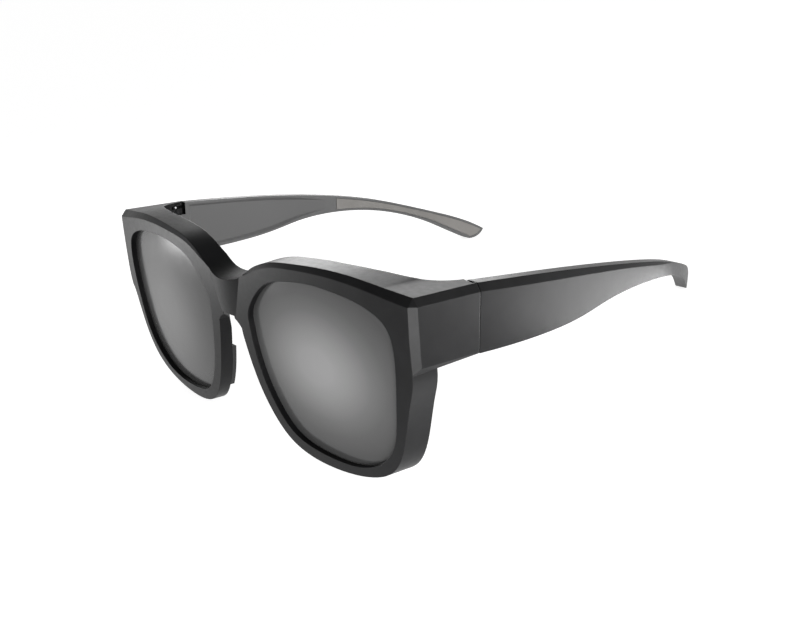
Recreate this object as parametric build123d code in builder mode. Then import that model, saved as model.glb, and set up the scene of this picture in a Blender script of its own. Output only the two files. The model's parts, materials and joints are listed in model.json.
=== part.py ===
from build123d import *
from math import cos, degrees, radians, sin, sqrt, tan
import os

# Fitover sunglasses, in millimetres. They are drawn as worn: X is to the wearer's left, Y is
# rearwards, Z is up, and the brow corners lie at Y = 0 and Z = 0. At the end they are stood up
# on their rim bottoms and temple tips.

# Driving sizes of the front
brow_rise = 2.1
pantoscopic_tilt = 8.0
shelf_slope = 2.0
saddle_slope = 11.0
wrap_radius = 530.0
face_radius = 310.0
face_bulge = 1.0
rim_deep = 7.4
rim_thick = 4.1

# Driving sizes of the lens openings and the lenses
opening_wide = 58.2
opening_tall = 48.0
opening_inset = 10.4
opening_side = 5.4
opening_drop = 2.5
rim_foot = 3.0
cavity_step = 1.6
lens_recess = 1.7
lens_thick = 1.4
groove_deep = 1.0
lens_clearance = 0.05

# Driving sizes of the bridge and the space for the nose
bridge_wide = 21.0
bridge_foot_wide = 12.2
bridge_side_drop = 5.2
bridge_top_drop = 8.0
bridge_foot_drop = 21.2
bridge_arch_drop = 18.5
bridge_radius = 26.0
bridge_proud = 0.9
bridge_lean = 2.3
bridge_deep = 7.2
bridge_hollow_radius = 55.0
nose_wall_deep = 3.7
nose_wall_top_deep = 2.1
nose_cut_drop = 11.0
nose_cut_wide = 48.0
nose_pad_thick = 1.3
nose_pad_drop = 31.0
nose_pad_tall = 14.0
nose_pad_clearance = 0.05

# Driving sizes of the brow bevel, the corner facets and the endpieces
bevel_high = 2.0
bevel_deep = 1.7
facet_deep = 1.8
endpiece_out = 1.4
endpiece_end = 19.3
endpiece_thick = 5.0
endpiece_drop = 18.6
endpiece_end_drop = 16.4
endpiece_foot_high = 1.9
gusset_wide = 24.4

# Driving sizes of the hinges
hinge_inset = 4.0
hinge_back = 3.1
knuckle_radius = 2.2
knuckle_high = 2.4
knuckle_gap = 0.3
cap_high = 3.5
cap_cover_thick = 0.6
cap_slot_high = 1.0
cap_slot_long = 4.5
hinge_gap = 0.3
screw_head_radius = 1.5
screw_head_high = 0.8
screw_head_sunk = 0.5
screw_radius = 0.8
screw_slot_wide = 0.4
screw_slot_deep = 0.3
nut_radius = 1.6
nut_high = 1.6
pin_clearance = 0.03

# Driving sizes of the temples and their tip pads
temple_long = 112.6
temple_sweep = 25.4
temple_drop = 22.2
temple_thick = 5.0
panel_deep = 0.9
panel_margin = 0.7
panel_slant = 0.9
pad_deep = 1.0
pad_margin = 0.8
pad_proud = 0.15
pad_clearance = 0.05

# One overrun for every cut that leaves the solid it cuts
overrun = 6.0

# Shares of half the bridge's width and of its saddle's rise
saddle_shares = [(0.476, 0.18), (0.762, 0.46), (1.0, 1.0)]
# Shares of half the front's width and of the brow's rise, along the brow's upper edge, and of
# the way from the corner's slope to the saddle's that the shelf's slope has gone there
brow_shares = [
    (0.203, -1.24, 0.65), (0.297, 0.0, 0.38), (0.424, 0.62, 0.33), (0.54, 0.91, 0.33),
    (0.635, 0.98, 0.3), (0.743, 0.85, 0.25), (0.865, 0.45, 0.12), (1.0, 0.0, 0.0),
]
# Shares of the front's half width where the brow bevel is drawn, with its height and depth there
bevel_shares = [
    (0.142, 0.15, 0.1), (0.203, 0.55, 0.2), (0.297, 0.64, 0.25), (0.424, 0.7, 0.34), (0.54, 0.75, 0.43),
    (0.635, 0.79, 0.53), (0.743, 0.84, 0.65), (0.865, 0.9, 0.81), (1.0, 1.0, 1.0),
]
# Shares of half the front's width and of the rim's drop, from the temple side round to the nose
rim_shares = [
    (0.978, 0.484), (0.93, 0.692), (0.849, 0.877), (0.743, 0.953), (0.632, 0.987), (0.514, 1.0),
    (0.395, 0.991), (0.278, 0.935), (0.197, 0.82), (0.126, 0.622), (0.088, 0.443),
]
# Shares of the opening's width and height, from its middle, starting at the nose
opening_shares = [
    (-0.5, 0.183), (-0.469, -0.069), (-0.383, -0.306), (-0.277, -0.44), (-0.146, -0.488),
    (0.009, -0.5), (0.174, -0.483), (0.332, -0.404), (0.43, -0.275), (0.479, -0.052),
    (0.5, 0.208), (0.469, 0.375), (0.352, 0.456), (0.146, 0.494), (0.009, 0.5),
    (-0.136, 0.485), (-0.335, 0.421), (-0.452, 0.302),
]
# Shares of the gusset's width and depth, from the endpiece to the rim
gusset_shares = [(0.025, 0.828), (0.086, 0.644), (0.18, 0.479), (0.303, 0.337), (0.55, 0.184)]
# Shares of the temple's length, with its inward sweep, its thickness and its panel's depth there
temple_plan_shares = [
    (0.0, 0.0, 1.0, 1.0), (0.25, -0.024, 0.93, 1.0), (0.38, -0.001, 0.905, 0.9), (0.5, 0.051, 0.88, 0.0),
    (0.7, 0.248, 0.85, -1.0), (0.85, 0.575, 0.85, -1.0), (1.0, 1.0, 0.85, -1.0), (1.04, 1.12, 0.85, -1.0),
]
# Shares of the temple's length and of its drop, along its upper and its lower edge
temple_top_shares = [
    (0.0, 0.0), (0.25, 0.045), (0.5, 0.148), (0.7, 0.309), (0.85, 0.513), (0.97, 0.735), (1.0, 0.825),
]
temple_bottom_shares = [
    (0.962, 1.0), (0.909, 0.86), (0.847, 0.7), (0.776, 0.574), (0.71, 0.493), (0.634, 0.443),
    (0.55, 0.431), (0.474, 0.454), (0.394, 0.518), (0.32, 0.61), (0.19, 0.711), (0.0, 0.768),
]
temple_tip_share = (0.99, 0.925)
# Shares of the temple's length where its outer bevel is drawn, with the bevel's size there
temple_bevel_shares = [(0.0, 1.0), (0.25, 0.9), (0.5, 0.55), (0.7, 0.05)]
# Shares of the temple's length between which the inner panel and the tip pad lie
panel_start_share = 0.012
panel_end_share = 0.51
pad_start_share = 0.54

# Places worked out from the driving sizes
half_wide = opening_inset + opening_wide + opening_side
rim_drop = opening_drop + opening_tall + rim_foot
outer_x = half_wide + endpiece_out
inner_x = outer_x - endpiece_thick
tilt = radians(pantoscopic_tilt)
slope = radians(shelf_slope)
wrap_depth = wrap_radius - sqrt(wrap_radius**2 - half_wide**2)
brow_forward = wrap_depth + bevel_deep
face_middle = -(rim_drop - brow_rise) / 2
face_span = degrees(2 * rim_drop / face_radius)
wrap_span = degrees(2 * (outer_x + overrun) / wrap_radius)
front_reach = brow_forward + overrun
front_deep = front_reach + endpiece_end + 2 * overrun
hinge_x = outer_x - hinge_inset
hinge_y = endpiece_end - hinge_back
temple_start = endpiece_end + hinge_gap
temple_top = temple_start * tan(slope)
lens_back = lens_recess + lens_thick

# Views of the worn pose: outlines are drawn from the front, sections from the side or from above
outline_plane = Plane(
    origin=(0, -front_reach, -front_reach * tan(slope)), x_dir=(1, 0, 0), z_dir=(0, -1, 0)
)
shelf_direction = (0, cos(slope), sin(slope))
face_plane = Plane(
    origin=(0, -brow_forward, 0), x_dir=(0, cos(tilt), sin(tilt)), z_dir=(1, 0, 0)
)
plan_plane = Plane(origin=face_plane.origin, x_dir=(1, 0, 0), z_dir=face_plane.y_dir)
wrap_axis = Axis(face_plane.from_local_coords((wrap_radius, 0, 0)), face_plane.y_dir)
side_plane = Plane(origin=(0, 0, 0), x_dir=(0, 1, 0), z_dir=(1, 0, 0))


def face_band(near, far):
    """The space between two depths behind the curved front face."""
    centre = (face_radius - face_bulge, face_middle)
    with BuildPart() as band:
        with BuildSketch(face_plane):
            with BuildLine():
                front = CenterArc(centre, face_radius - near, 180 - face_span / 2, face_span)
                back = CenterArc(centre, face_radius - far, 180 - face_span / 2, face_span)
                Line(front @ 0, back @ 0)
                Line(front @ 1, back @ 1)
            make_face()
        revolve(axis=wrap_axis, revolution_arc=wrap_span)
    return band.part.rotate(wrap_axis, -wrap_span / 2)


def face_y(x, z):
    """Where the front face lies at a width and a height."""
    depth = 0
    for step in range(4):
        height = (z - depth * sin(tilt)) / cos(tilt)
        arc = face_radius - face_bulge - sqrt(face_radius**2 - (height - face_middle) ** 2)
        depth = wrap_radius - sqrt((wrap_radius - arc) ** 2 - x**2)
    return depth * cos(tilt) - height * sin(tilt) - brow_forward


def mirrored(points):
    """The same points on the wearer's right, in the opposite order."""
    return [(-x, z) for x, z in reversed(points)]


def shelf_z(rise, lift_share, y):
    """The height of the shelf on top, at a depth, where the brow has a rise and the shelf a slope."""
    slope_here = radians(shelf_slope + lift_share * (saddle_slope - shelf_slope))
    return rise - brow_forward * tan(slope) + (y + brow_forward) * tan(slope_here)


def shelf_points(y):
    """The shelf's section at a depth, on the wearer's left, from the middle to the corner."""
    saddle_rise = bridge_top_drop - bridge_side_drop
    places = [(0, -bridge_top_drop, 1)]
    places += [(x * bridge_wide / 2, z * saddle_rise - bridge_top_drop, 1) for x, z in saddle_shares]
    places += [(x * half_wide, z * brow_rise, lift) for x, z, lift in brow_shares]
    return [(x, shelf_z(rise, lift, y)) for x, rise, lift in places]


def under_shelf():
    """All the space under the shelf, which rises rearwards most at the saddle."""
    with BuildPart() as space:
        for y in (-front_reach, endpiece_end + overrun):
            shelf = shelf_points(y)
            end_x, end_z = shelf[-1]
            end = [(end_x, end_z), (outer_x + overrun, end_z), (outer_x + overrun, -2 * rim_drop)]
            with BuildSketch(Plane.XZ.offset(-y)):
                with BuildLine():
                    Spline(*shelf, tangents=[(1, 0), (1, -0.1)])
                    Polyline(*end, *mirrored(end))
                    Spline(*mirrored(shelf), tangents=[(1, 0.1), (1, 0)])
                make_face()
        loft(ruled=True)
    return space.part


def outline_prism():
    """The rims, the bridge and the endpieces, seen from the front, open at the top, as a prism."""
    foot = (bridge_foot_wide / 2, -bridge_foot_drop)
    rim = [(x * half_wide, -z * rim_drop) for x, z in rim_shares]
    rim = [(half_wide, -endpiece_drop)] + rim + [foot]
    end = [(outer_x, overrun), (outer_x, -endpiece_drop), (half_wide, -endpiece_drop)]
    with BuildPart() as prism:
        with BuildSketch(outline_plane):
            with BuildLine():
                Polyline(*mirrored(end), *end)
                Spline(*rim, tangents=[(0, -1), (-0.1, 1)])
                ThreePointArc(foot, (0, -bridge_arch_drop), (-foot[0], foot[1]))
                Spline(*mirrored(rim), tangents=[(-0.1, -1), (0, 1)])
            make_face()
        extrude(amount=front_deep, dir=shelf_direction)
    return prism.part


def opening_points(margin):
    """The left lens opening's outline, grown by a margin all round."""
    middle_x = opening_inset + opening_wide / 2
    middle_z = -opening_drop - opening_tall / 2
    wide = opening_wide + 2 * margin
    tall = opening_tall + 2 * margin
    return [(middle_x + x * wide, middle_z + z * tall) for x, z in opening_shares]


def opening_prism(margin, near, far):
    """The left lens opening, between two depths behind the front face."""
    band = face_band(near, far)
    with BuildPart() as prism:
        with BuildSketch(outline_plane):
            with BuildLine():
                Spline(*opening_points(margin), periodic=True)
            make_face()
        extrude(amount=front_deep, dir=shelf_direction)
        add(band, mode=Mode.INTERSECT)
    return prism.part


def brow_corner(x, rise, lift_share):
    """How deep the front face meets the shelf on top, at a width."""
    y = -brow_forward
    for step in range(4):
        y = face_y(x, shelf_z(rise, lift_share, y))
    return y


def bevel_section(start, end):
    """The space outside a slanted cut from one point to another, with the outside on its left."""
    along = (end - start).normalized()
    away = along.rotate(Axis.Z, 90) * overrun
    start = start - along * bevel_high
    end = end + along * bevel_high
    return [(point.X, point.Y) for point in (start, end, end + away, start + away)]


def brow_bevel():
    """The wedge that bevels the left brow, growing from the bridge to the corner."""
    rises = {share: (rise * brow_rise, lift) for share, rise, lift in brow_shares}
    stations = []
    for share, high_share, deep_share in bevel_shares:
        rise, lift = rises.get(share, (-bridge_side_drop, 1))
        stations.append((share * half_wide, rise, lift, high_share * bevel_high, deep_share * bevel_deep))
    last_x, *last_sizes = stations[-1]
    stations.append((last_x + overrun, *last_sizes))
    with BuildPart() as wedge:
        for x, rise, lift, high, deep in stations:
            y = brow_corner(x, rise, lift)
            upper = Vector(y + deep, shelf_z(rise, lift, y + deep))
            foot_z = shelf_z(rise, lift, y) - high
            lower = Vector(face_y(x, foot_z), foot_z)
            with BuildSketch(side_plane.offset(x)):
                Polygon(*bevel_section(lower, upper), align=None)
        loft()
    return wedge.part


# The space for the nose: behind the nasal walls, under the bridge and open at the bottom
nose_band = face_band(nose_wall_deep, front_deep)
with BuildPart() as nose_space:
    with BuildSketch(plan_plane.offset(-rim_drop - overrun)):
        near = nose_wall_deep - nose_cut_wide / 2
        far = front_deep
        Polygon((0, near), (far - near, far), (near - far, far), align=None)
    extrude(amount=rim_drop + overrun - nose_cut_drop)
    add(nose_band, mode=Mode.INTERSECT)

# The splay that thins the nasal walls towards the bridge's arch
with BuildPart() as nose_splay:
    with BuildSketch(plan_plane.offset(-rim_drop - overrun)):
        near = nose_wall_top_deep - bridge_foot_wide / 2
        far = nose_wall_deep + nose_pad_clearance
        Polygon((0, near), (far - near, far), (near - far, far), align=None)
    extrude(amount=rim_drop + overrun - bridge_arch_drop)

# The bridge's convex front, its hollow back and the wall between them
with BuildPart() as bridge:
    lean_plane = Plane(
        origin=(0, -brow_forward, 0),
        x_dir=(1, 0, 0),
        z_dir=(0, -sin(tilt + radians(bridge_lean)), cos(tilt + radians(bridge_lean))),
    )
    with BuildSketch(lean_plane.offset(-bridge_foot_drop - overrun)):
        with Locations((0, bridge_radius - bridge_proud - face_bulge)):
            Circle(bridge_radius)
        with Locations((0, lens_recess)):
            Rectangle(bridge_wide, front_reach, align=(Align.CENTER, Align.MAX), mode=Mode.INTERSECT)
    extrude(amount=bridge_foot_drop + 2 * overrun)
with BuildPart() as bridge_hollow:
    with BuildSketch(plan_plane.offset(-bridge_foot_drop - overrun)):
        with Locations((0, bridge_deep + bridge_hollow_radius - face_bulge)):
            Circle(bridge_hollow_radius)
    extrude(amount=bridge_foot_drop + 2 * overrun)

# The left endpiece and its gusset, drawn from above and cut off along the endpiece's foot
gusset_x = inner_x - gusset_wide
gusset_y = face_y(gusset_x, 0) + rim_deep * cos(tilt)
gusset_line = [
    (inner_x - x * gusset_wide, gusset_y + y * (endpiece_end - gusset_y)) for x, y in gusset_shares
]
behind_lens = face_band(lens_back, front_deep)
with BuildPart() as endpiece:
    with BuildSketch(Plane.XY.offset(-rim_drop)):
        with BuildLine():
            ends = [(0, -1), (-1, -0.2)]
            Spline((inner_x, endpiece_end), *gusset_line, (gusset_x, gusset_y), tangents=ends)
            Polyline(
                (gusset_x, gusset_y), (gusset_x, -front_reach), (outer_x + overrun, -front_reach),
                (outer_x + overrun, endpiece_end), (inner_x, endpiece_end),
            )
        make_face()
    extrude(amount=rim_drop + brow_rise + overrun)
    with BuildSketch(side_plane):
        Polygon(
            (-front_reach, -endpiece_drop), (0, -endpiece_drop), (endpiece_end, -endpiece_end_drop),
            (endpiece_end, overrun), (-front_reach, overrun), align=None,
        )
    extrude(amount=outer_x + 2 * overrun, mode=Mode.INTERSECT)
    add(behind_lens, mode=Mode.INTERSECT)

# What the left corner loses: its front facet, its sloping foot and its bevelled edges
facet_top = Vector(half_wide, face_y(half_wide, 0), 0)
facet_foot = Vector(half_wide, face_y(half_wide, -endpiece_drop), -endpiece_drop)
facet_lean = (facet_top - facet_foot).normalized()
facet_plane = Plane(origin=facet_foot, x_dir=(1, 0, 0), z_dir=facet_lean)
facet_slant = Vector(endpiece_out, facet_deep).normalized() * front_reach
with BuildPart() as corner_cuts:
    with BuildSketch(facet_plane.offset(-overrun)):
        Polygon(
            (-facet_slant.X, -facet_slant.Y), (facet_slant.X, facet_slant.Y),
            (facet_slant.X, -facet_slant.Y), align=None,
        )
    extrude(amount=endpiece_drop + 2 * overrun)
    with BuildSketch(side_plane.offset(half_wide)):
        Polygon(
            (-front_reach, -endpiece_drop), (0, -endpiece_drop), (endpiece_end, -endpiece_end_drop),
            (endpiece_end + overrun, -rim_drop), (-front_reach, -rim_drop), align=None,
        )
    extrude(amount=endpiece_out + overrun)
    with BuildSketch(outline_plane):
        Polygon(
            (half_wide, -endpiece_drop),
            (outer_x + endpiece_out, -endpiece_drop + 2 * endpiece_foot_high),
            (outer_x + endpiece_out, -endpiece_drop),
            align=None,
        )
    extrude(amount=front_deep, dir=shelf_direction)
with BuildPart() as edge_bevel:
    with BuildSketch(outline_plane):
        Polygon(
            (half_wide - endpiece_out, bevel_high),
            (outer_x + endpiece_out, -2 * bevel_high),
            (outer_x + endpiece_out, bevel_high),
            align=None,
        )
    extrude(amount=front_deep, dir=shelf_direction)

# The bevels meet round the corner in one slanted face above the facet
corner_top = Vector(half_wide, 0, 0)
corner_front = Vector(half_wide, face_y(half_wide, -bevel_high), -bevel_high)
corner_side = Vector(outer_x, corner_front.Y + facet_deep, -bevel_high)
corner_out = (corner_front - corner_top).cross(corner_side - corner_top)
with BuildPart() as corner_bevel:
    with BuildSketch(Plane(origin=corner_top, x_dir=corner_front - corner_top, z_dir=corner_out)):
        Rectangle(2 * overrun, 2 * overrun)
    extrude(amount=overrun)

# The left hinge: a cap and a lower plate on the endpiece, and between them the space for the
# temple's knuckle
cap_top = hinge_y * tan(slope)
cap_bottom = cap_top - cap_high
foot_z = -endpiece_drop + hinge_y / endpiece_end * (endpiece_drop - endpiece_end_drop)
plate_top = foot_z + knuckle_high
pocket_radius = knuckle_radius + knuckle_gap
with BuildPart() as hinge_space:
    with BuildSketch(Plane.XY.offset(-rim_drop)):
        with Locations((hinge_x + knuckle_radius, hinge_y + knuckle_radius)):
            Rectangle(endpiece_thick, hinge_back + overrun, align=(Align.MAX, Align.MIN))
    extrude(amount=rim_drop + overrun)
    with BuildSketch(Plane.XY.offset(plate_top)):
        with Locations((hinge_x, hinge_y)):
            Circle(pocket_radius)
            Rectangle(endpiece_thick, pocket_radius, align=(Align.MAX, Align.MAX))
        with Locations((hinge_x + pocket_radius, hinge_y)):
            Rectangle(2 * endpiece_thick, overrun, align=(Align.MAX, Align.MIN))
    extrude(amount=cap_bottom - plate_top)
with BuildPart() as hinge_plates:
    with BuildSketch(Plane.XY.offset(foot_z)):
        with Locations((hinge_x, hinge_y)):
            Circle(knuckle_radius)
    extrude(amount=knuckle_high)
    with BuildSketch(Plane.XY.offset(cap_bottom)):
        with Locations((hinge_x, hinge_y)):
            Circle(knuckle_radius)
    extrude(amount=cap_high)

# The hinge's bores: the screw comes in from below, and its tip shows in a slot under the cap
head_seat = foot_z + screw_head_sunk + screw_head_high
slot_foot = cap_top - cap_cover_thick - cap_slot_high
screw_tip = slot_foot + cap_slot_high / 2
with BuildPart() as hinge_bores:
    with BuildSketch(Plane.XY.offset(foot_z - overrun)):
        with Locations((hinge_x, hinge_y)):
            Circle(screw_radius + pin_clearance)
    extrude(amount=screw_tip - foot_z + overrun)
    with BuildSketch(Plane.XY.offset(head_seat)):
        with Locations((hinge_x, hinge_y)):
            Circle(screw_head_radius + pin_clearance)
    extrude(amount=-overrun)
    with BuildSketch(Plane.XY.offset(cap_bottom)):
        with Locations((hinge_x, hinge_y)):
            Circle(nut_radius + pin_clearance)
    extrude(amount=nut_high + pin_clearance)
    with BuildSketch(Plane.XY.offset(slot_foot)):
        with Locations((hinge_x + screw_head_radius, hinge_y + knuckle_radius - cap_slot_long)):
            Rectangle(2 * endpiece_thick, cap_slot_long + overrun, align=(Align.MAX, Align.MIN))
    extrude(amount=cap_slot_high)

# The front frame: one moulding with both rims, the bridge and both endpieces
rim_band = face_band(0, rim_deep)
outline = outline_prism()
shelf_space = under_shelf()
lens_opening = opening_prism(0, -overrun, front_deep)
groove_near = lens_recess - lens_clearance
lens_groove = opening_prism(groove_deep + lens_clearance, groove_near, lens_back + lens_clearance)
cavity = opening_prism(cavity_step, rim_thick, front_deep)
bevel = brow_bevel()
corner_pieces = [corner_cuts.part, edge_bevel.part, corner_bevel.part]
side_cuts = [lens_opening, lens_groove, cavity, bevel] + corner_pieces + [hinge_space.part]
with BuildPart() as front_frame:
    add(rim_band)
    add(bridge)
    add(endpiece)
    mirror(endpiece.part, about=Plane.YZ)
    add(outline, mode=Mode.INTERSECT)
    add(shelf_space, mode=Mode.INTERSECT)
    for cut in side_cuts:
        add(cut, mode=Mode.SUBTRACT)
        mirror(cut, about=Plane.YZ, mode=Mode.SUBTRACT)
    add(hinge_plates)
    mirror(hinge_plates.part, about=Plane.YZ)
    add(hinge_bores, mode=Mode.SUBTRACT)
    mirror(hinge_bores.part, about=Plane.YZ, mode=Mode.SUBTRACT)
    add(nose_space, mode=Mode.SUBTRACT)
    add(nose_splay, mode=Mode.SUBTRACT)
    add(bridge_hollow, mode=Mode.SUBTRACT)

# The lenses: curved sheets that sit in the rims' grooves
with BuildPart() as lens_left:
    add(opening_prism(groove_deep, lens_recess, lens_back))

# The nose pads: soft strips along the rear of the nasal walls
pad_band = face_band(nose_wall_deep + nose_pad_clearance, nose_wall_deep + nose_pad_thick)
with BuildPart() as nose_pad_left:
    with BuildSketch(side_plane):
        with Locations((0, -nose_pad_drop)):
            Rectangle(front_deep, nose_pad_tall, align=(Align.CENTER, Align.MAX))
    extrude(amount=nose_cut_wide)
    add(nose_space, mode=Mode.INTERSECT)
    add(pad_band, mode=Mode.INTERSECT)
    add(outline, mode=Mode.INTERSECT)
    add(cavity, mode=Mode.SUBTRACT)
    add(lens_opening, mode=Mode.SUBTRACT)

# The hinge screws, put in from below, and the threaded inserts in the caps that hold them
screw_foot = foot_z + screw_head_sunk - pin_clearance
with BuildPart() as hinge_screw_left:
    with BuildSketch(Plane.XY.offset(screw_foot)):
        with Locations((hinge_x, hinge_y)):
            Circle(screw_radius)
    extrude(amount=screw_tip - screw_foot - pin_clearance)
    with BuildSketch(Plane.XY.offset(screw_foot)):
        with Locations((hinge_x, hinge_y)):
            Circle(screw_head_radius)
    extrude(amount=screw_head_high)
    with BuildSketch(Plane.XY.offset(screw_foot)):
        with Locations((hinge_x, hinge_y)):
            Rectangle(screw_slot_wide, 3 * screw_head_radius, rotation=30)
    extrude(amount=screw_slot_deep, mode=Mode.SUBTRACT)
with BuildPart() as hinge_nut_left:
    with BuildSketch(Plane.XY.offset(cap_bottom)):
        with Locations((hinge_x, hinge_y)):
            Circle(nut_radius)
            Circle(screw_radius + pin_clearance, mode=Mode.SUBTRACT)
    extrude(amount=nut_high)


def temple_line(inward, depth, panel_depth=0):
    """The left temple's outer side seen from above, moved inward by shares of its thickness."""
    line = []
    for y, sweep, thick, panel in temple_plan_shares:
        x = outer_x - sweep * temple_sweep - inward * thick * temple_thick
        line.append((x + depth + panel * panel_depth, y * temple_long + temple_start))
    return line


def temple_slab(inner_points, outer_points):
    """The space between two lines seen from above."""
    with BuildPart() as slab:
        with BuildSketch(Plane.XY.offset(-rim_drop)):
            with BuildLine():
                inner = Spline(*inner_points)
                outer = Spline(*outer_points)
                Line(inner @ 0, outer @ 0)
                Line(inner @ 1, outer @ 1)
            make_face()
        extrude(amount=rim_drop + overrun)
    return slab.part


def drawn_in(points, margin):
    """A clockwise line of points moved inwards by a margin."""
    moved = []
    for index, (y, z) in enumerate(points):
        before = Vector(points[max(index - 1, 0)])
        after = Vector(points[min(index + 1, len(points) - 1)])
        along = (after - before).normalized()
        moved.append((y + along.Y * margin, z - along.X * margin))
    return moved


def temple_side(margin, start_share, end_share):
    """The left temple seen from its side, drawn in by a margin and cut off at both ends."""
    shares = temple_top_shares + [temple_tip_share] + temple_bottom_shares
    points = [(temple_start + y * temple_long, temple_top - z * temple_drop) for y, z in shares]
    points = drawn_in(points, margin)
    top = points[:len(temple_top_shares)]
    tip = points[len(temple_top_shares)]
    bottom = points[-len(temple_bottom_shares):]
    length = (end_share - start_share) * temple_long
    with BuildPart() as side:
        with BuildSketch(side_plane):
            with BuildLine():
                Spline(*top)
                ThreePointArc(top[-1], tip, bottom[0])
                Spline(*bottom)
                Line(bottom[-1], top[0])
            make_face()
            with Locations((temple_start + start_share * temple_long, 0)):
                Rectangle(length, 2 * rim_drop, align=(Align.MIN, Align.CENTER), mode=Mode.INTERSECT)
        extrude(amount=outer_x + overrun)
    return side.part


def temple_bevel():
    """The wedge that bevels the left temple's outer top edge and fades out along it."""
    sweeps = {y: sweep for y, sweep, thick, panel in temple_plan_shares}
    drops = dict(temple_top_shares)
    stations = [(temple_start - overrun, outer_x, temple_top - overrun * tan(slope), 1)]
    for share, size in temple_bevel_shares:
        x = outer_x - sweeps[share] * temple_sweep
        z = temple_top - drops[share] * temple_drop
        stations.append((temple_start + share * temple_long, x, z, size))
    with BuildPart() as wedge:
        for y, x, z, size in stations:
            upper = Vector(x - size * endpiece_out, z)
            lower = Vector(x, z - size * bevel_high)
            with BuildSketch(Plane.XZ.offset(-y)):
                Polygon(*bevel_section(upper, lower), align=None)
        loft()
    return wedge.part


# The temple: a blade that sweeps in behind the ear, with a knuckle between the hinge plates
inner_line = temple_line(1, 0)
blade = temple_slab(inner_line, temple_line(0, 0))
temple_wedge = temple_bevel()
panel_slab = temple_slab(temple_line(1, -overrun), temple_line(1, 0, panel_deep))
pad_space = temple_slab(temple_line(1, -overrun), temple_line(1, pad_deep))
panel_side = temple_side(panel_margin, panel_start_share, panel_end_share)
with BuildPart() as panel:
    add(panel_slab)
    add(panel_side, mode=Mode.INTERSECT)
    floor_edges = panel.faces().sort_by(Axis.X)[-1].edges()
    chamfer(floor_edges.filter_by(GeomType.LINE, reverse=True), panel_slant)
pad_side = temple_side(pad_margin, pad_start_share, 1 + pad_start_share)
knuckle_low = plate_top + knuckle_gap
knuckle_tall = cap_bottom - knuckle_gap - knuckle_low
with BuildPart() as temple_left:
    add(blade)
    add(temple_side(0, 0, 1 + pad_start_share), mode=Mode.INTERSECT)
    add(temple_wedge, mode=Mode.SUBTRACT)
    add(panel, mode=Mode.SUBTRACT)
    add(pad_space & pad_side, mode=Mode.SUBTRACT)
    with BuildSketch(Plane.XY.offset(knuckle_low)):
        with Locations((hinge_x, hinge_y)):
            Circle(knuckle_radius)
            web_wide = hinge_x + knuckle_radius - inner_x
            web_long = hinge_back + hinge_gap + panel_deep
            with Locations((knuckle_radius, 0)):
                Rectangle(web_wide, web_long, align=(Align.MAX, Align.MIN))
            Circle(screw_radius + pin_clearance, mode=Mode.SUBTRACT)
    extrude(amount=knuckle_tall)

# The tip pad: a soft inlay in the temple's inner side
pad_slab = temple_slab(temple_line(1, -pad_proud), temple_line(1, pad_deep - pad_clearance))
pad_inset = temple_side(pad_margin + pad_clearance, pad_start_share, 1 + pad_start_share)
with BuildPart() as tip_pad_left:
    add(pad_slab)
    add(pad_inset, mode=Mode.INTERSECT)

# The wearer's right side is the left side's mirror image
left_pieces = {
    "lens": lens_left,
    "nose_pad": nose_pad_left,
    "temple": temple_left,
    "tip_pad": tip_pad_left,
    "hinge_screw": hinge_screw_left,
    "hinge_nut": hinge_nut_left,
}
pieces = {"front_frame": front_frame}
for name, piece in left_pieces.items():
    with BuildPart() as twin:
        mirror(piece.part, about=Plane.YZ)
    pieces[name + "_left"] = piece
    pieces[name + "_right"] = twin

# Standing up: the glasses are pitched until the rims and the temple tips rest on one floor


def tip_over_rim(pitch):
    """How much lower the rims reach than the temple's tip, pitched about the X axis."""
    rim_foot = front_frame.part.rotate(Axis.X, pitch).bounding_box().min.Z
    temple_foot = temple_left.part.rotate(Axis.X, pitch).bounding_box().min.Z
    return temple_foot - rim_foot


flat_pitch, steep_pitch = 0, -2 * degrees(rim_drop / temple_long)
flat_gap, steep_gap = tip_over_rim(flat_pitch), tip_over_rim(steep_pitch)
for step in range(6):
    pitch = flat_pitch + (steep_pitch - flat_pitch) * flat_gap / (flat_gap - steep_gap)
    gap = tip_over_rim(pitch)
    if gap > 0:
        flat_pitch, flat_gap = pitch, gap
    else:
        steep_pitch, steep_gap = pitch, gap
standing = Rot(X=pitch)
feet = [pieces[name].part.moved(standing).bounding_box() for name in ("front_frame", "temple_left")]
floor = min(box.min.Z for box in feet)
middle_y = (feet[0].min.Y + feet[1].max.Y) / 2
standing = Pos(0, -middle_y, -floor) * standing

# Each piece is written to its own file
os.makedirs("parts", exist_ok=True)
for label, piece in pieces.items():
    piece.part = piece.part.moved(standing)
    piece.part.label = label
    export_step(piece.part, f"parts/{label}.step")
    print(label, round(piece.part.volume, 2), len(piece.part.solids()), piece.part.is_valid)
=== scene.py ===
import json

import bpy
from mathutils import Matrix, Vector

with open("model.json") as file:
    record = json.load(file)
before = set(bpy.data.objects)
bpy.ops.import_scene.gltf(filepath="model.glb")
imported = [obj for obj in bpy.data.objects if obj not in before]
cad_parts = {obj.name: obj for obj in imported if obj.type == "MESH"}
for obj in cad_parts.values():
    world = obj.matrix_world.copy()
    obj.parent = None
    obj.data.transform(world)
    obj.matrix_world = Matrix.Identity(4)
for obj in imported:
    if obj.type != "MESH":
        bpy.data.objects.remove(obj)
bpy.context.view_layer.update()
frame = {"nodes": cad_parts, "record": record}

# Fitover sunglasses, in metres. They stand on their rims and temple tips on a pale floor.
MM = 0.001

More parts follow.
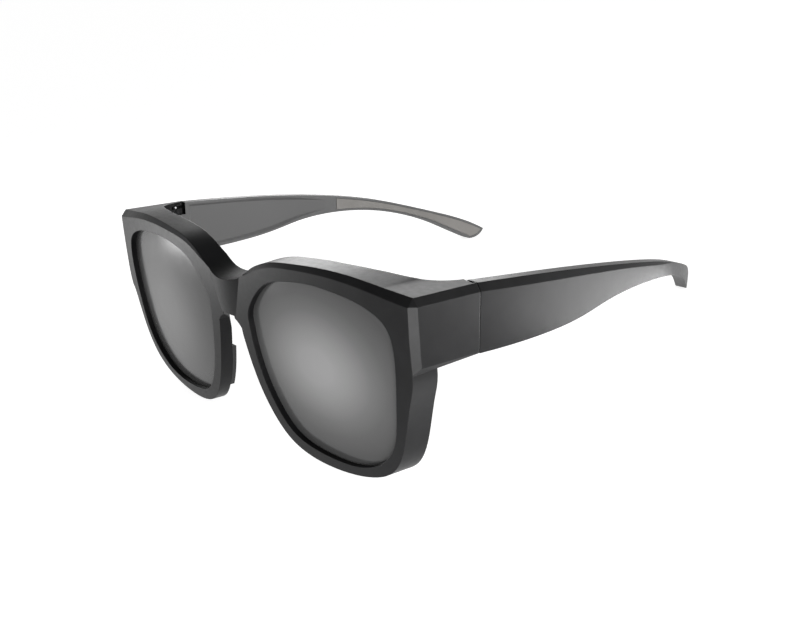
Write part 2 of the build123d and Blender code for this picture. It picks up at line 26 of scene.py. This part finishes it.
# The camera as it was worked out from the photograph, in millimetres from the middle of the brow,
# with the glasses level as they are worn: X to the wearer's left, Y rearwards, Z up
CAMERA_PLACE = (258.9, -150.8, 61.6)
CAMERA_RIGHT = (0.62270, 0.78246, 0.0)
CAMERA_FORWARD = (-0.75361, 0.59975, -0.26901)
CAMERA_NEAREST = 10.0
FOCAL_PIXELS = 1100
PHOTO_WIDE = 800
SENSOR_WIDE = 36
HINGE_WORN = (71.4, 16.2, 0.0)

# The surroundings' brightness, by the height of the direction that is looked in
SKY = [(0.2, 1.0), (0.34, 0.45), (0.5, 0.2), (0.8, 0.18)]

# The floor's width in metres, its own grey, and how much it glows to the eye
FLOOR_WIDE = 4
FLOOR_GREY = (0.6, 0.6, 0.6)
FLOOR_ROUGH = 0.9
FLOOR_GLOW = 0.83

# Each lamp's place, what it looks at and its size in millimetres, and its power in watts. The low
# ones bring the highlights on the corner facet, the far rim's inner band and the temples.
LAMPS = {
    "left_low": ((-277, -215, 25), (-20, -65, 40), (130, 50), 0.2),
    "left_rear": ((-300, 230, 110), (0, -40, 50), (200, 120), 0.5),
    "corner": ((190, -155, 32), (74, -58, 44), (120, 60), 0.5),
    "right_rear": ((330, 260, 60), (0, 20, 30), (240, 110), 1.2),
    "bounce_temple": ((112, 42, 2), (112, 42, 90), (80, 60), 0.2),
    "bounce_rim": ((102, -52, 2), (102, -52, 90), (40, 60), 0.018),
}

# The sizes of surface detail, in millimetres
GRAIN_SIZE = 0.35
GRAIN_DEEP = 0.006
PAD_GRAIN_DEEP = GRAIN_DEEP * 2
SHEEN_SIZE = GRAIN_SIZE * 4
MOTTLE_SIZE = 9.0
EDGE_RADIUS = 0.28
METAL_EDGE_RADIUS = EDGE_RADIUS / 3
TOOL_MARK_SIZE = 0.12
TOOL_MARK_DEEP = 0.004
TOOL_MARK_STRETCH = (1, 1, 0.2)

# Where a noise passes from its dark end to its light end
MOTTLE_RANGE = (0.3, 0.7)
SHEEN_RANGE = (0.2, 0.8)
# Where an edge begins and fully takes its wear and painted highlight, and where a side begins and
# fully counts as inner, with its painted reflection
EDGE_RANGE = (0.02, 0.25)
INNER_RANGE = (0.45, 0.6)

# The finishes' colours, each from its dark to its light end
PLASTIC_COLORS = ((0.004, 0.004, 0.0043), (0.007, 0.007, 0.0074))
TIP_PAD_COLORS = ((0.25, 0.24, 0.228), (0.30, 0.288, 0.275))
NOSE_PAD_COLORS = ((0.012, 0.012, 0.0125), (0.018, 0.018, 0.0185))
# The temples' inner sides are painted this lighter grey: a painted reflection that lightens them
# against the black outer sides
TEMPLE_INNER_PAINTED_LIGHT = (0.16, 0.16, 0.16)
STEEL = (0.62, 0.62, 0.64)
BRASS = (0.7, 0.55, 0.3)

# The refraction index of every finish
REFRACTION = 1.5
# How rough and how shiny the moulded finishes are, and how much lighter their edges are painted,
# for wear and as a painted highlight
PLASTIC = {"rough": 0.38, "specular": 0.11, "grain": GRAIN_DEEP, "edge_wear_and_highlight": 0.01}
TIP_PAD = {"rough": 0.65, "specular": 0.3, "grain": PAD_GRAIN_DEEP}
NOSE_PAD = {"rough": 0.6, "specular": 0.3, "grain": PAD_GRAIN_DEEP}
SHEEN_SPREAD = 0.04
# How rough the metals are, how much rougher where the tool marks are high, and how dark where low
STEEL_ROUGH = 0.25
BRASS_ROUGH = 0.3
METAL_SPREAD = 0.15
METAL_SHADE = 0.8

# Where each lens's painted reflection is lightest, in millimetres as worn, and how light the
# painted colour is there
LENS_PAINTED_LIGHT = {
    "lens_left": ((36.5, -4.0, -26.0), 0.235),
    "lens_right": ((-46.0, -4.0, -27.0), 0.18),
}
# How far the painted shade takes to deepen the tint, along X, and how much sooner it does so along
# each axis
LENS_PAINTED_LIGHT_REACH = 34.0
LENS_PAINTED_LIGHT_FORM = {"lens_left": (1.0, 0.5, 1.4), "lens_right": (1.0, 0.5, 1.15)}
# How deep the painted shade gets, by shares of the reach and of the lightest place's colour
LENS_PAINTED_LIGHT_SHARES = [(0.0, 1.0), (0.2, 0.94), (0.44, 0.67), (0.62, 0.43), (0.79, 0.28), (1.0, 0.18)]
LENS_SPECULAR = 0.18
LENS_ROUGH = (0.14, 0.19)

scene = bpy.context.scene


def worn_pose():
    """The matrix from the worn pose to the standing pose, read from the left hinge."""
    joints = frame["record"]["behaviour"]["joints"]
    joint = next(j for j in joints if j["name"] == "left_temple_fold")
    up = Vector(joint["axis"]).normalized()
    left = Vector((1, 0, 0))
    turn = Matrix((left, up.cross(left), up)).transposed()
    shift = Vector(joint["pos_m"]) - turn @ (Vector(HINGE_WORN) * MM)
    return Matrix.Translation(shift) @ turn.to_4x4()


WORN = worn_pose()


def worn(x, y, z):
    """A point of the worn pose, in millimetres, as a point of the frame, in metres."""
    return WORN @ (Vector((x, y, z)) * MM)


def add_camera():
    """The photograph's camera."""
    forward = Vector(CAMERA_FORWARD).normalized()
    right = Vector(CAMERA_RIGHT).normalized()
    turn = Matrix((right, right.cross(forward), -forward)).transposed().to_4x4()
    data = bpy.data.cameras.new("camera")
    data.sensor_width = SENSOR_WIDE
    data.lens = FOCAL_PIXELS / PHOTO_WIDE * SENSOR_WIDE
    data.clip_start = CAMERA_NEAREST * MM
    camera = bpy.data.objects.new("camera", data)
    scene.collection.objects.link(camera)
    camera.matrix_world = WORN @ Matrix.Translation(Vector(CAMERA_PLACE) * MM) @ turn
    scene.camera = camera


def add_light(name, place, target, size, power):
    """A soft rectangular lamp that looks at a point, with all but its power in millimetres."""
    data = bpy.data.lights.new(name, "AREA")
    data.shape = "RECTANGLE"
    data.size = size[0] * MM
    data.size_y = size[1] * MM
    data.energy = power
    lamp = bpy.data.objects.new(name, data)
    scene.collection.objects.link(lamp)
    lamp.location = Vector(place) * MM
    look = Vector(target) * MM - lamp.location
    lamp.rotation_euler = look.to_track_quat("-Z", "Y").to_euler()


class Nodes:
    """Short ways to add and join the nodes of one material or world."""

    def __init__(self, tree):
        self.tree = tree

    def add(self, kind, **settings):
        """A shader node with its settings."""
        node = self.tree.nodes.new("ShaderNode" + kind)
        for name, value in settings.items():
            setattr(node, name, value)
        return node

    def join(self, output, socket):
        """A link from an output to an input."""
        self.tree.links.new(output, socket)

    def feed(self, socket, value):
        """An input that takes another node's output or a plain value."""
        if isinstance(value, bpy.types.NodeSocket):
            self.join(value, socket)
        else:
            socket.default_value = value

    def math(self, operation, first, second=0.0):
        """A sum, product or the like of two numbers."""
        node = self.add("Math", operation=operation)
        self.feed(node.inputs[0], first)
        self.feed(node.inputs[1], second)
        return node.outputs[0]

    def vector(self, operation, first, second):
        """The node of a sum, product or the like of an output and a second vector."""
        node = self.add("VectorMath", operation=operation)
        self.join(first, node.inputs[0])
        self.feed(node.inputs[1], second)
        return node

    def ramp(self, value, stops):
        """A colour ramp; each stop is a place and a grey or a colour."""
        node = self.add("ValToRGB")
        self.join(value, node.inputs[0])
        elements = node.color_ramp.elements
        while len(elements) < len(stops):
            elements.new(0.5)
        for element, (place, color) in zip(elements, stops):
            element.position = place
            rgb = (color,) * 3 if isinstance(color, float) else color
            element.color = (*rgb, 1)
        return node.outputs[0]

    def step(self, value, places, ends=(0.0, 1.0)):
        """A ramp from one end to the other, between two places."""
        return self.ramp(value, list(zip(places, ends)))

    def noise(self, size, detail=2.0, rough=0.5, stretch=(1, 1, 1)):
        """Noise in the object's own space, with features of a size in millimetres."""
        place = self.add("TexCoord").outputs["Object"]
        scaled = self.add("Mapping")
        scaled.inputs["Scale"].default_value = stretch
        self.join(place, scaled.inputs["Vector"])
        node = self.add("TexNoise")
        self.join(scaled.outputs[0], node.inputs["Vector"])
        node.inputs["Scale"].default_value = 1 / (size * MM)
        node.inputs["Detail"].default_value = detail
        node.inputs["Roughness"].default_value = rough
        return node.outputs["Fac"]

    def soft_edges(self, radius):
        """A normal that rounds the edges by a radius in millimetres."""
        bevel = self.add("Bevel", samples=4)
        bevel.inputs["Radius"].default_value = radius * MM
        return bevel.outputs[0]

    def edge(self, normal):
        """How near an edge is, by how far the rounded normal leans from the plain one."""
        plain = self.add("NewGeometry").outputs["Normal"]
        dot = self.vector("DOT_PRODUCT", normal, plain)
        return self.math("SUBTRACT", 1.0, dot.outputs["Value"])

    def mix(self, kind, factor, first, second):
        """One colour mixed with another, which is plain."""
        node = self.add("Mix", data_type="RGBA", blend_type=kind)
        self.join(factor, node.inputs["Factor"])
        self.join(first, node.inputs["A"])
        node.inputs["B"].default_value = (*second, 1)
        return node.outputs["Result"]

    def faces_inward(self):
        """1 on the sides that face the middle of the glasses, and 0 on the others."""
        place = self.add("TexCoord")
        at, aim = self.add("SeparateXYZ"), self.add("SeparateXYZ")
        self.join(place.outputs["Object"], at.inputs[0])
        self.join(place.outputs["Normal"], aim.inputs[0])
        side = self.math("SIGN", at.outputs["X"])
        outward = self.math("MULTIPLY", side, aim.outputs["X"])
        return self.step(self.math("MULTIPLY", outward, -1.0), INNER_RANGE)

    def bump(self, height, deep, normal):
        """A bump of a depth in millimetres on a normal."""
        node = self.add("Bump")
        node.inputs["Strength"].default_value = 1.0
        node.inputs["Distance"].default_value = deep * MM
        self.join(height, node.inputs["Height"])
        self.join(normal, node.inputs["Normal"])
        return node.outputs[0]


def material(name, specular=0.5):
    """A principled material with its nodes."""
    mat = bpy.data.materials.new(name)
    mat.use_nodes = True
    shader = mat.node_tree.nodes["Principled BSDF"]
    shader.inputs["Specular IOR Level"].default_value = specular
    shader.inputs["IOR"].default_value = REFRACTION
    return mat, shader, Nodes(mat.node_tree)


def moulded(name, colors, rough, specular, grain, edge_wear_and_highlight=0.0, inner_painted_light=None):
    """A mottled, finely grained surface with soft edges, maybe painted lighter at the edges for
    wear and as a painted highlight, and maybe an inner side painted lighter as a painted
    reflection.
    """
    mat, shader, n = material(name, specular)
    color = n.step(n.noise(MOTTLE_SIZE, detail=4.0, rough=0.6), MOTTLE_RANGE, colors)
    normal = n.soft_edges(EDGE_RADIUS)
    # The edges are painted lighter, partly as wear and partly as a painted highlight
    if edge_wear_and_highlight:
        worn_and_highlit_edge = n.step(n.edge(normal), EDGE_RANGE)
        color = n.mix("ADD", n.math("MULTIPLY", worn_and_highlit_edge, edge_wear_and_highlight), color, (1, 1, 1))
    # Painted reflection: the sides that face the middle of the glasses are painted a lighter grey
    if inner_painted_light:
        color = n.mix("MIX", n.faces_inward(), color, inner_painted_light)
    n.join(color, shader.inputs["Base Color"])
    fine = n.noise(GRAIN_SIZE, detail=3.0, rough=0.7)
    n.join(n.bump(fine, grain, normal), shader.inputs["Normal"])
    sheen = (rough - SHEEN_SPREAD, rough + SHEEN_SPREAD)
    n.join(n.step(n.noise(SHEEN_SIZE), SHEEN_RANGE, sheen), shader.inputs["Roughness"])
    return mat


def smoke_lens_and_painted_light(name, glow, lightest, form):
    """A polished smoke lens with painted light in its colour: lightest at one place as a painted
    reflection, and deepening towards its rim as painted shade.
    """
    mat, shader, n = material(name, LENS_SPECULAR)
    # Painted light: over the smoke tint, a painted reflection is lightest at one place and painted
    # shade deepens it towards the rim
    away = n.vector("SUBTRACT", n.add("TexCoord").outputs["Object"], worn(*glow))
    formed = n.vector("MULTIPLY", away.outputs[0], form)
    length = n.add("VectorMath", operation="LENGTH")
    n.join(formed.outputs[0], length.inputs[0])
    reach = n.math("DIVIDE", length.outputs["Value"], LENS_PAINTED_LIGHT_REACH * MM)
    stops = [(place, share * lightest) for place, share in LENS_PAINTED_LIGHT_SHARES]
    n.join(n.ramp(reach, stops), shader.inputs["Base Color"])
    haze = n.step(n.noise(MOTTLE_SIZE), MOTTLE_RANGE, LENS_ROUGH)
    n.join(haze, shader.inputs["Roughness"])
    return mat


def turned_metal(name, color, rough):
    """A turned metal with fine tool marks, darker and smoother at the marks' low end."""
    mat, shader, n = material(name)
    shader.inputs["Metallic"].default_value = 1.0
    marks = n.noise(TOOL_MARK_SIZE, stretch=TOOL_MARK_STRETCH)
    shaded = tuple(c * METAL_SHADE for c in color)
    n.join(n.step(marks, MOTTLE_RANGE, (shaded, color)), shader.inputs["Base Color"])
    sheen = (rough, rough + METAL_SPREAD)
    n.join(n.step(marks, MOTTLE_RANGE, sheen), shader.inputs["Roughness"])
    normal = n.soft_edges(METAL_EDGE_RADIUS)
    n.join(n.bump(marks, TOOL_MARK_DEEP, normal), shader.inputs["Normal"])
    return mat


def seen_directly(n):
    """1 for what is seen, also mirrored or through something clear, and 0 for plain light."""
    path = n.add("LightPath")
    seen = n.math("MAXIMUM", path.outputs["Is Camera Ray"], path.outputs["Is Glossy Ray"])
    return n.math("MAXIMUM", seen, path.outputs["Is Transmission Ray"])


def add_world():
    """A plain studio: white at the horizon and below it, and dark overhead."""
    world = bpy.data.worlds.new("studio")
    scene.world = world
    world.use_nodes = True
    n = Nodes(world.node_tree)
    back = world.node_tree.nodes["Background"]
    aim = n.add("SeparateXYZ")
    n.join(n.add("TexCoord").outputs["Generated"], aim.inputs[0])
    n.join(n.ramp(aim.outputs["Z"], SKY), back.inputs["Color"])


def add_floor():
    """The white floor, which keeps a soft shadow under the glasses."""
    bpy.ops.mesh.primitive_plane_add(size=FLOOR_WIDE)
    floor = bpy.context.object
    floor.name = "floor"
    mat, shader, n = material("floor_white", 0.0)
    shader.inputs["Base Color"].default_value = (*FLOOR_GREY, 1)
    shader.inputs["Roughness"].default_value = FLOOR_ROUGH
    shader.inputs["Emission Color"].default_value = (1, 1, 1, 1)
    glow = n.math("MULTIPLY", seen_directly(n), FLOOR_GLOW)
    n.join(glow, shader.inputs["Emission Strength"])
    floor.data.materials.append(mat)


scene.view_settings.view_transform = "Standard"
add_camera()
add_world()
add_floor()
for name, lamp in LAMPS.items():
    add_light(name, *lamp)

# Each finish goes to the pieces whose names begin with its key
finishes = {
    "front_frame": moulded("frame_plastic", PLASTIC_COLORS, **PLASTIC),
    "temple": moulded("temple_plastic", PLASTIC_COLORS, **PLASTIC, inner_painted_light=TEMPLE_INNER_PAINTED_LIGHT),
    "tip_pad": moulded("tip_pad_rubber", TIP_PAD_COLORS, **TIP_PAD),
    "nose_pad": moulded("nose_pad_rubber", NOSE_PAD_COLORS, **NOSE_PAD),
    "hinge_screw": turned_metal("screw_steel", STEEL, STEEL_ROUGH),
    "hinge_nut": turned_metal("nut_brass", BRASS, BRASS_ROUGH),
}
for name, glow in LENS_PAINTED_LIGHT.items():
    finishes[name] = smoke_lens_and_painted_light(name + "_tint", *glow, LENS_PAINTED_LIGHT_FORM[name])
for name, node in frame["nodes"].items():
    finish = next(value for key, value in finishes.items() if name.startswith(key))
    for slot in node.material_slots:
        slot.material = finish
